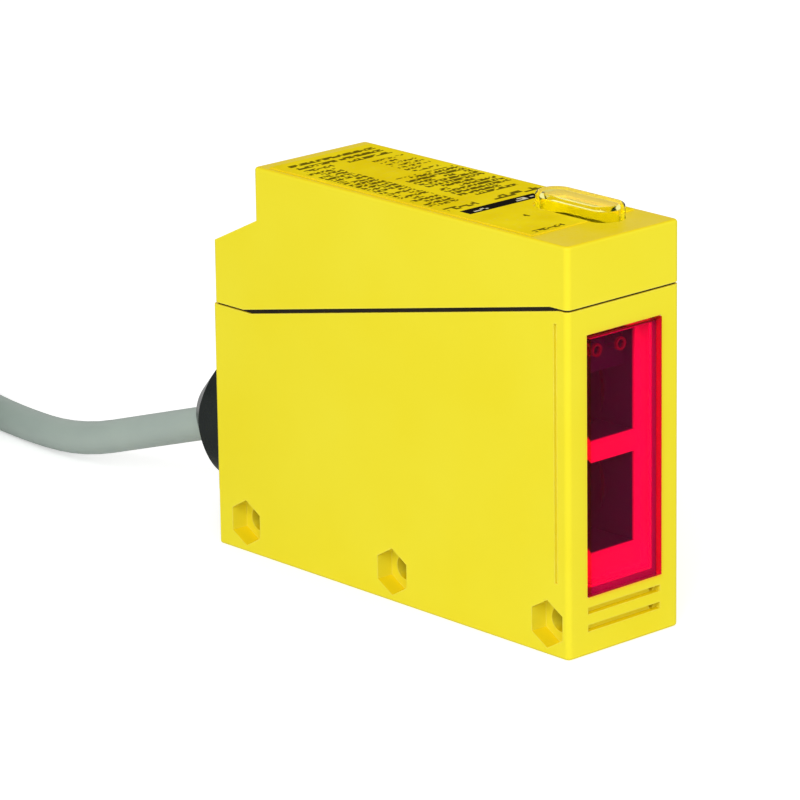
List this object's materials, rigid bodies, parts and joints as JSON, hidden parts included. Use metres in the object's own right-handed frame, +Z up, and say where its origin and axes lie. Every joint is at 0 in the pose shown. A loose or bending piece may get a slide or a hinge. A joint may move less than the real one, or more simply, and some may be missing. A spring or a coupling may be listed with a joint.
{
  "type": "diffuse photoelectric sensor",
  "caption": "Slim block photoelectric sensor with a sloped case seam, red front window, clear indicator dome, side nut pockets and a rear cable in a strain relief",
  "frame": {"origin": "centre of the underside of the case", "axes": "+X towards the flat mounting side, +Y towards the cable, +Z up; the window looks along -Y"},
  "size_m": [0.0476, 0.2354, 0.058],
  "materials": {
    "case_plastic": "glossy yellow moulded case",
    "black_rubber": "soft black seal",
    "pale_silicone": "thin pale seal behind the window",
    "red_window": "see-through red acrylic",
    "carrier_plastic": "pale moulded carrier",
    "clear_lens": "clear moulded lens",
    "amber_lens": "amber tinted lens",
    "clear_dome": "clear polished dome",
    "board_laminate": "green laminate",
    "chip_plastic": "black epoxy",
    "component_metal": "drawn can",
    "connector_plastic": "ivory moulding",
    "link_film": "amber film link",
    "screw_steel": "zinc plated",
    "adjuster_brass": "turned brass",
    "gland_plastic": "black moulding with a faint grain",
    "cable_jacket": "soft grey jacket",
    "tinned_copper": "tinned wire",
    "label_foil": "printed yellow foil",
    "wire_brown": "brown insulation",
    "wire_white": "white insulation",
    "wire_blue": "blue insulation",
    "wire_black": "black insulation",
    "wire_grey": "grey insulation"
  },
  "bodies": {
    "case": {"lower_housing": "case_plastic", "upper_cover": "case_plastic", "seam_gasket": "black_rubber", "front_window": "red_window", "window_seal": "pale_silicone", "optics_carrier": "carrier_plastic", "emitter_lens": "clear_lens", "receiver_lens": "clear_lens", "optics_board": "board_laminate", "emitter_led": "clear_lens", "receiver_photodiode": "chip_plastic", "main_board": "board_laminate", "control_chip": "chip_plastic", "regulator_chip": "chip_plastic", "capacitor": "component_metal", "board_connector": "connector_plastic", "board_screws": "screw_steel", "indicator_board_screws": "screw_steel", "optics_link": "link_film", "board_link": "link_film", "indicator_board": "board_laminate", "power_led": "clear_lens", "output_led": "amber_lens", "indicator_dome": "clear_dome", "potentiometer_body": "chip_plastic", "cable_gland": "gland_plastic", "gland_locknut": "gland_plastic", "inner_cable": "cable_jacket", "cable": "cable_jacket", "cable_hank": "cable_jacket", "cable_tie": "gland_plastic", "cable_end": "cable_jacket", "lead_tips": "tinned_copper", "top_label": "label_foil", "inner_wire_brown": "wire_brown", "inner_wire_white": "wire_white", "inner_wire_blue": "wire_blue", "inner_wire_black": "wire_black", "inner_wire_grey": "wire_grey", "lead_brown": "wire_brown", "lead_white": "wire_white", "lead_blue": "wire_blue", "lead_black": "wire_black", "lead_grey": "wire_grey"},
    "adjuster": {"adjuster_screw": "adjuster_brass", "adjuster_o_ring": "black_rubber", "potentiometer_rotor": "connector_plastic"}
  },
  "joints": [
    {"name": "adjuster_turn", "type": "hinge", "parent": "case", "child": "adjuster", "pos_m": [0, 0.0255, 0.0516], "axis": [0, 1, 0], "range_deg": [-135, 135]}
  ]
}
